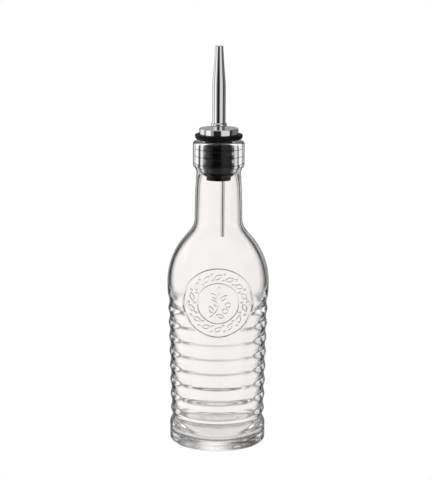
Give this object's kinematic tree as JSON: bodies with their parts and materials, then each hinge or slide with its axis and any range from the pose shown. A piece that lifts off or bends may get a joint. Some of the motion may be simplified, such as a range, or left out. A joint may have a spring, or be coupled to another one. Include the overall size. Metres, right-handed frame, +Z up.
{
  "type": "oil and vinegar bottle",
  "caption": "Empty clear glass oil bottle with a ribbed body, a round medallion in relief, a thick mouth ring and a tapered steel pourer held in a black rubber stopper.",
  "frame": {"origin": "centre of the base, on the plane that the bottle stands on", "axes": "+Z up along the bottle's axis, -Y towards the side with the medallion, +X to the right as seen from there"},
  "size_m": [0.06, 0.0604, 0.235],
  "materials": {
    "clear_glass": "clear, smooth, pressed glass",
    "black_rubber": "satin moulded rubber",
    "polished_steel": "polished stainless steel"
  },
  "bodies": {
    "root": {"glass_bottle": "clear_glass", "glass_neck": "clear_glass", "rubber_stopper": "black_rubber", "steel_cap": "polished_steel", "pour_spout": "polished_steel", "air_tube": "polished_steel"}
  },
  "joints": []
}
